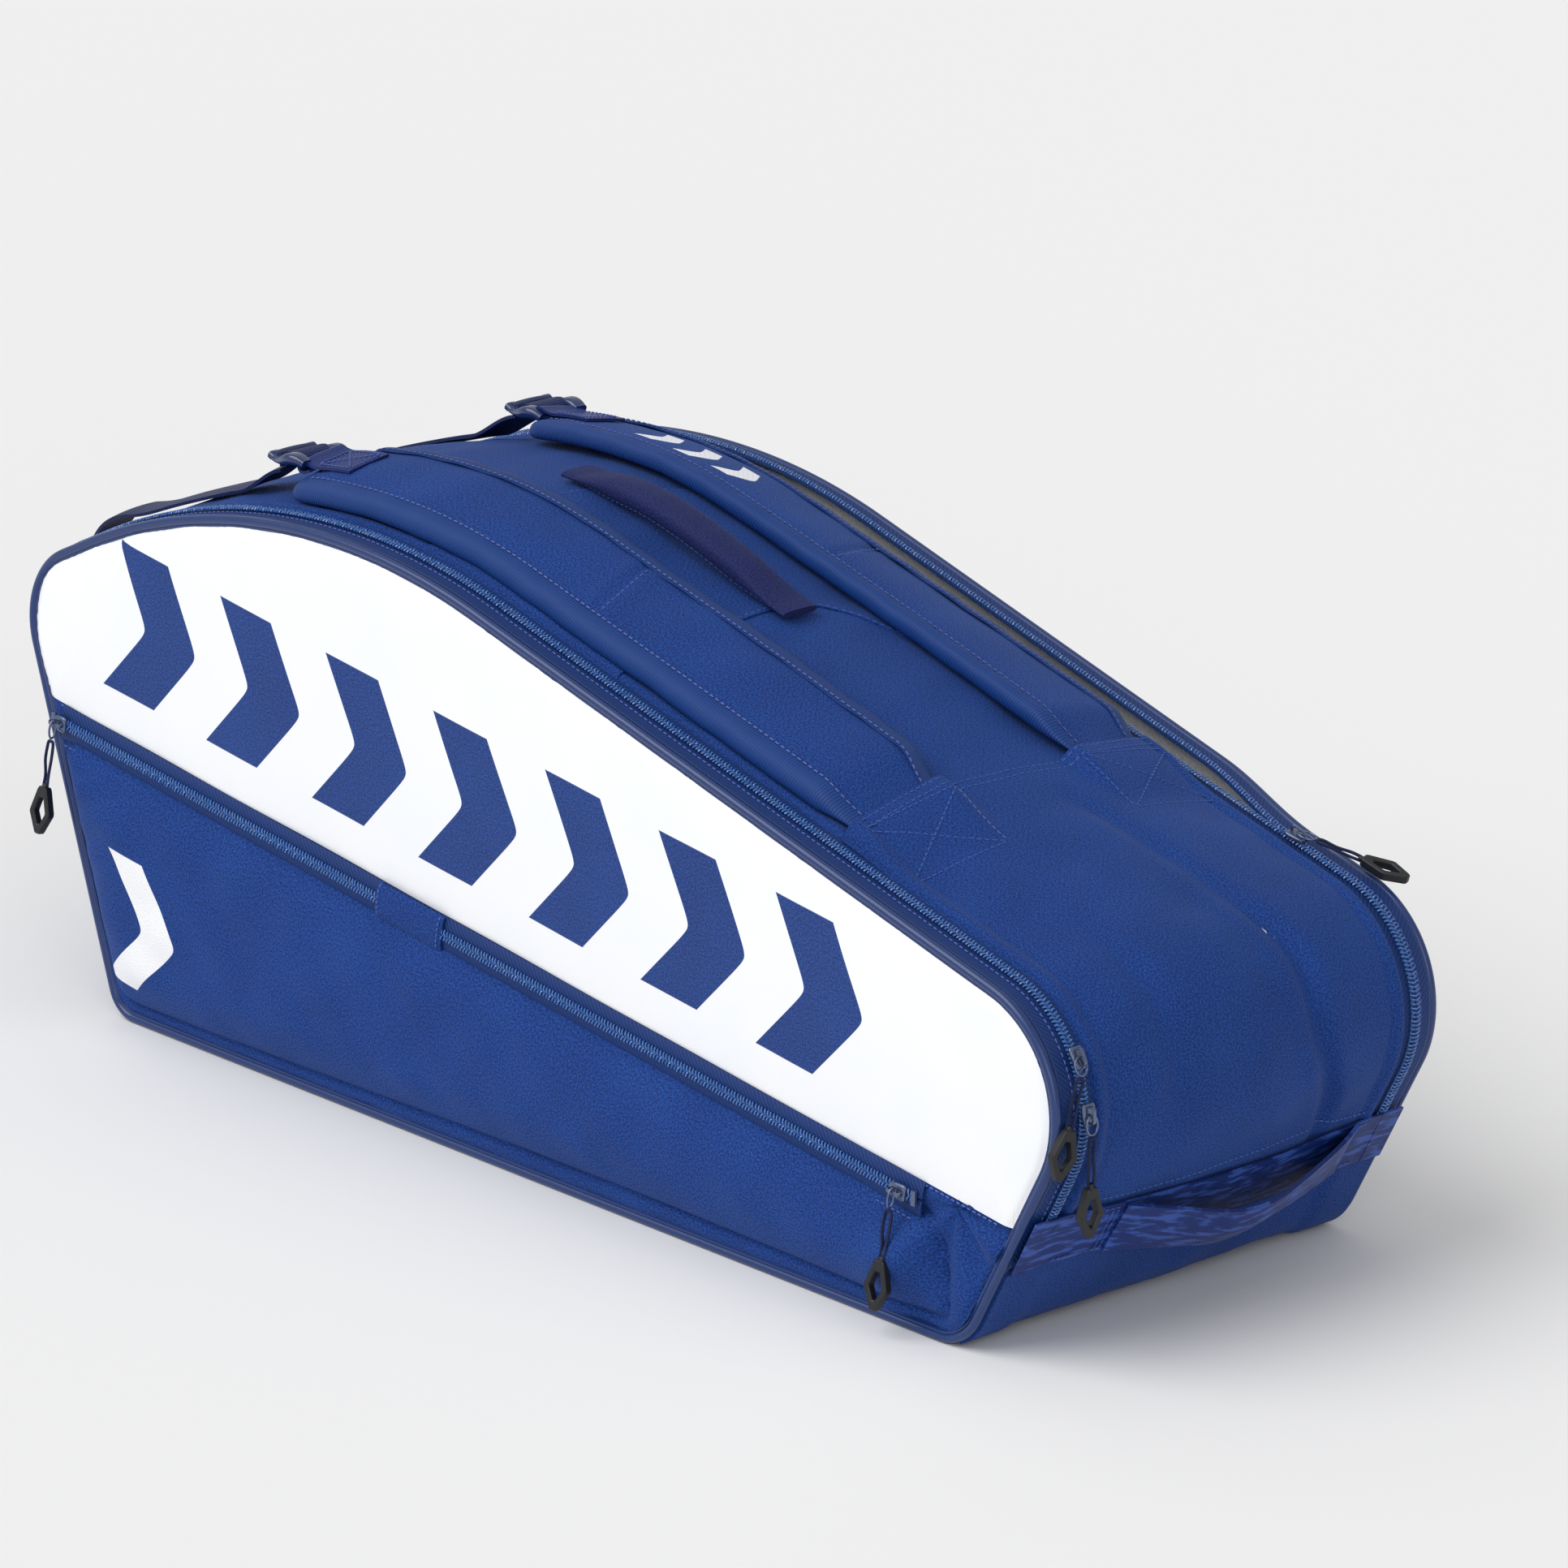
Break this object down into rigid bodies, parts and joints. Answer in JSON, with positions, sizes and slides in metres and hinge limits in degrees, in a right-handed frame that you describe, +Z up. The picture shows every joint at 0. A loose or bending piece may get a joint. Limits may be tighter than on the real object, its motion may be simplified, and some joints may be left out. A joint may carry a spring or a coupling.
{
  "type": "racket tournament bag",
  "caption": "Wedge-shaped racket bag with two zipped racket compartments, side pockets, padded shoulder straps, a top carry handle and an end grab handle.",
  "frame": {"origin": "middle of the base panel's underside, on the surface the bag stands on", "axes": "+X along the bag towards its low end, -Y towards its front side, +Z up"},
  "size_m": [0.7728, 0.3027, 0.3346],
  "materials": {
    "blue_fabric": "royal blue polyester twill",
    "white_panel": "white coated fabric, satin",
    "grey_lining": "silver-grey lining",
    "stiffener": "plain board",
    "piping": "glossy blue vinyl",
    "zip": "blue nylon coil on woven tape",
    "webbing": "navy webbing with a sheen",
    "handle_fabric": "navy twill",
    "buckle_plastic": "slate-blue moulded plastic",
    "painted_metal": "slate-blue lacquer",
    "pull_plastic": "charcoal rubberised plastic"
  },
  "bodies": {
    "shell": {"base_panel": "blue_fabric", "base_board": "stiffener", "left_end_gusset": "blue_fabric", "top_gusset": "blue_fabric", "right_end_gusset": "blue_fabric", "divider_panel": "grey_lining", "front_compartment_lining": "grey_lining", "rear_compartment_lining": "grey_lining", "front_zip_inner_tape": "zip", "rear_zip_inner_tape": "zip", "front_panel_band": "blue_fabric", "rear_panel_band": "blue_fabric", "strap_webbing_front": "webbing", "strap_webbing_rear": "webbing", "end_webbing": "webbing"},
    "front_side": {"front_panel": "white_panel", "front_lower_panel": "blue_fabric", "front_panel_lining": "grey_lining", "front_piping": "piping", "front_zip_outer_tape": "zip", "front_pocket_panel": "blue_fabric", "pocket_zip_left": "zip", "pocket_zip_right": "zip", "pocket_zip_garage": "blue_fabric"},
    "rear_side": {"rear_panel": "white_panel", "rear_lower_panel": "blue_fabric", "rear_panel_lining": "grey_lining", "rear_piping": "piping", "rear_zip_outer_tape": "zip", "rear_pocket_panel": "blue_fabric", "rear_pocket_zip": "zip"},
    "front_zip_upper_slider": {"front_zip_slider_upper": "painted_metal"},
    "front_zip_upper_pull": {"front_zip_ring_upper": "painted_metal", "front_zip_pull_upper": "pull_plastic"},
    "front_zip_lower_slider": {"front_zip_slider_lower": "painted_metal"},
    "front_zip_lower_pull": {"front_zip_ring_lower": "painted_metal", "front_zip_pull_lower": "pull_plastic"},
    "rear_zip_right_slider": {"rear_zip_slider_right": "painted_metal"},
    "rear_zip_right_pull": {"rear_zip_ring_right": "painted_metal", "rear_zip_pull_right": "pull_plastic"},
    "rear_zip_left_slider": {"rear_zip_slider_left": "painted_metal"},
    "rear_zip_left_pull": {"rear_zip_ring_left": "painted_metal", "rear_zip_pull_left": "pull_plastic"},
    "pocket_zip_left_slider": {"pocket_zip_slider_left": "painted_metal"},
    "pocket_zip_left_ring": {"pocket_zip_ring_left": "painted_metal"},
    "pocket_zip_left_pull": {"pocket_zip_pull_left": "pull_plastic"},
    "pocket_zip_right_slider": {"pocket_zip_slider_right": "painted_metal"},
    "pocket_zip_right_ring": {"pocket_zip_ring_right": "painted_metal"},
    "pocket_zip_right_pull": {"pocket_zip_pull_right": "pull_plastic"},
    "rear_pocket_right_slider": {"rear_pocket_slider_right": "painted_metal"},
    "rear_pocket_right_ring": {"rear_pocket_ring_right": "painted_metal"},
    "rear_pocket_right_pull": {"rear_pocket_pull_right": "pull_plastic"},
    "strap_front": {"shoulder_strap_front": "blue_fabric", "strap_tab_front": "webbing"},
    "lock_front": {"ladder_lock_front": "buckle_plastic"},
    "strap_rear": {"shoulder_strap_rear": "blue_fabric", "strap_tab_rear": "webbing"},
    "lock_rear": {"ladder_lock_rear": "buckle_plastic"},
    "carry_handle": {"carry_handle": "handle_fabric"},
    "end_handle": {"end_handle": "webbing"}
  },
  "joints": [
    {"name": "front_panel_open", "type": "hinge", "parent": "shell", "child": "front_side", "pos_m": [0, -0.1325, 0.05], "axis": [1, 0, 0], "range_deg": [0, 90]},
    {"name": "rear_panel_open", "type": "hinge", "parent": "shell", "child": "rear_side", "pos_m": [0, 0.1325, 0.05], "axis": [-1, 0, 0], "range_deg": [-4, 86]},
    {"name": "front_zip_upper_run", "type": "hinge", "parent": "shell", "child": "front_zip_upper_slider", "pos_m": [0.3108, -0.1153, 0.12683], "axis": [0, -1, 0], "range_deg": [0, 44]},
    {"name": "front_zip_upper_swing", "type": "hinge", "parent": "front_zip_upper_slider", "child": "front_zip_upper_pull", "pos_m": [0.37027, -0.1153, 0.15979], "axis": [-0.2125, -0.8988, 0.3834], "range_deg": [0, 100]},
    {"name": "front_zip_lower_run", "type": "hinge", "parent": "shell", "child": "front_zip_lower_slider", "pos_m": [0.3108, -0.1153, 0.12683], "axis": [0, 1, 0], "range_deg": [0, 22]},
    {"name": "front_zip_lower_swing", "type": "hinge", "parent": "front_zip_lower_slider", "child": "front_zip_lower_pull", "pos_m": [0.37854, -0.1153, 0.13275], "axis": [0, -1, 0], "range_deg": [0, 100]},
    {"name": "rear_zip_right_run", "type": "slide", "parent": "shell", "child": "rear_zip_right_slider", "axis": [-0.9656, 0, 0.2602], "range_m": [-0.03, 0.3]},
    {"name": "rear_zip_right_swing", "type": "hinge", "parent": "rear_zip_right_slider", "child": "rear_zip_right_pull", "pos_m": [0.29156, 0.1153, 0.20244], "axis": [0.3302, -0.9397, -0.089], "range_deg": [0, 100]},
    {"name": "rear_zip_left_run", "type": "slide", "parent": "shell", "child": "rear_zip_left_slider", "axis": [-0.3424, 0, 0.9395], "range_m": [-0.05, 0.05]},
    {"name": "rear_zip_left_swing", "type": "hinge", "parent": "rear_zip_left_slider", "child": "rear_zip_left_pull", "pos_m": [-0.35737, 0.1153, 0.11795], "axis": [0, 1, 0], "range_deg": [0, 100]},
    {"name": "pocket_zip_left_run", "type": "slide", "parent": "front_side", "child": "pocket_zip_left_slider", "axis": [0.9917, 0, -0.1289], "range_m": [0, 0.235]},
    {"name": "pocket_zip_left_ring_hang", "type": "hinge", "parent": "pocket_zip_left_slider", "child": "pocket_zip_left_ring", "pos_m": [-0.347, -0.142, 0.15211], "axis": [-1, 0, 0], "range_deg": [0, 90]},
    {"name": "pocket_zip_left_swing", "type": "hinge", "parent": "pocket_zip_left_ring", "child": "pocket_zip_left_pull", "pos_m": [-0.347, -0.14317, 0.1447], "axis": [0, -0.9877, 0.1564], "range_deg": [-35, 35]},
    {"name": "pocket_zip_right_run", "type": "slide", "parent": "front_side", "child": "pocket_zip_right_slider", "axis": [-0.9917, 0, 0.1289], "range_m": [0, 0.31]},
    {"name": "pocket_zip_right_ring_hang", "type": "hinge", "parent": "pocket_zip_right_slider", "child": "pocket_zip_right_ring", "pos_m": [0.275, -0.142, 0.07125], "axis": [-1, 0, 0], "range_deg": [0, 90]},
    {"name": "pocket_zip_right_swing", "type": "hinge", "parent": "pocket_zip_right_ring", "child": "pocket_zip_right_pull", "pos_m": [0.275, -0.14317, 0.06384], "axis": [0, -0.9877, 0.1564], "range_deg": [-35, 35]},
    {"name": "rear_pocket_right_run", "type": "slide", "parent": "rear_side", "child": "rear_pocket_right_slider", "axis": [-0.9917, 0.009, 0.1286], "range_m": [0, 0.6]},
    {"name": "rear_pocket_right_ring_hang", "type": "hinge", "parent": "rear_pocket_right_slider", "child": "rear_pocket_right_ring", "pos_m": [0.275, 0.14346, 0.07054], "axis": [1, 0, 0], "range_deg": [-4, 86]},
    {"name": "rear_pocket_right_swing", "type": "hinge", "parent": "rear_pocket_right_ring", "child": "rear_pocket_right_pull", "pos_m": [0.275, 0.14411, 0.06306], "axis": [0, -0.9962, -0.0872], "range_deg": [-35, 35]},
    {"name": "strap_front_lift", "type": "hinge", "parent": "shell", "child": "strap_front", "pos_m": [0.19261, -0.073, 0.23328], "axis": [0, 1, 0], "range_deg": [0, 25]},
    {"name": "lock_front_tilt", "type": "hinge", "parent": "strap_front", "child": "lock_front", "pos_m": [-0.21766, -0.073, 0.31237], "axis": [0, 1, 0], "range_deg": [0, 30]},
    {"name": "strap_rear_lift", "type": "hinge", "parent": "shell", "child": "strap_rear", "pos_m": [0.19261, 0.073, 0.23328], "axis": [0, 1, 0], "range_deg": [0, 25]},
    {"name": "lock_rear_tilt", "type": "hinge", "parent": "strap_rear", "child": "lock_rear", "pos_m": [-0.19889, 0.073, 0.31568], "axis": [0, 1, 0], "range_deg": [0, 30]},
    {"name": "carry_handle_swing", "type": "hinge", "parent": "shell", "child": "carry_handle", "pos_m": [-0.02194, 0, 0.30619], "axis": [0.9749, 0, -0.2228], "range_deg": [-75, 75]},
    {"name": "end_handle_lift", "type": "hinge", "parent": "shell", "child": "end_handle", "pos_m": [0.36299, 0, 0.07232], "axis": [0, -1, 0], "range_deg": [0, 60]}
  ],
  "couplings": [
    {"joint": "pocket_zip_left_ring_hang", "follows": "front_panel_open", "ratio": 1},
    {"joint": "pocket_zip_right_ring_hang", "follows": "front_panel_open", "ratio": 1},
    {"joint": "rear_pocket_right_ring_hang", "follows": "rear_panel_open", "ratio": 1}
  ]
}
